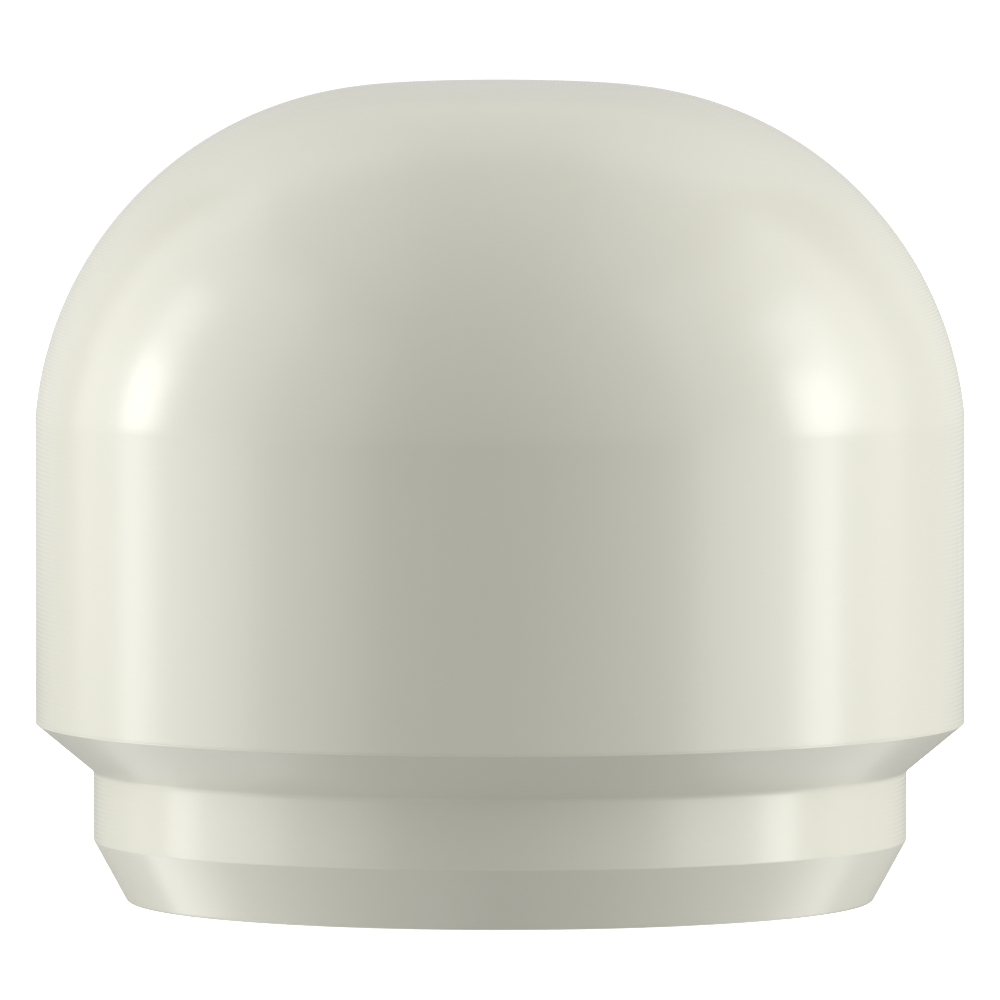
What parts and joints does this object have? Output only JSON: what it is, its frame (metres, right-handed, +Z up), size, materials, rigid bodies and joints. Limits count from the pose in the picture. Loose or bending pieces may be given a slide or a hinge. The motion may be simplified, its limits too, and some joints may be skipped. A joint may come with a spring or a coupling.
{
  "type": "domed round fence post cap",
  "caption": "Domed cap that closes the top of a round tubular fence post: a hollow shell screwed to a stepped, tapered spigot plug.",
  "frame": {"origin": "on the cap's axis, in the plane of the seat, where the end of the post tube meets the neck of the cap", "axes": "+Z up along the axis, from the post towards the crown; the ribs lie along X and Y"},
  "size_m": [0.0604, 0.0602, 0.053],
  "materials": {
    "ivory_shell": "glossy ivory moulding with faint turned rings",
    "ivory_plug": "glossy ivory moulding with faint turned rings",
    "seal_rubber": "smooth black rubber",
    "insert_brass": "turned, with two knurled bands",
    "screw_steel": "plain stainless steel, satin",
    "washer_steel": "stamped stainless steel",
    "spring_steel": "stainless spring steel, satin"
  },
  "bodies": {
    "root": {"dome_shell": "ivory_shell", "base_plug": "ivory_plug", "joint_seal": "seal_rubber", "threaded_insert": "insert_brass", "clamp_screw": "screw_steel", "flat_washer": "washer_steel", "spring_washer": "spring_steel"}
  },
  "joints": []
}
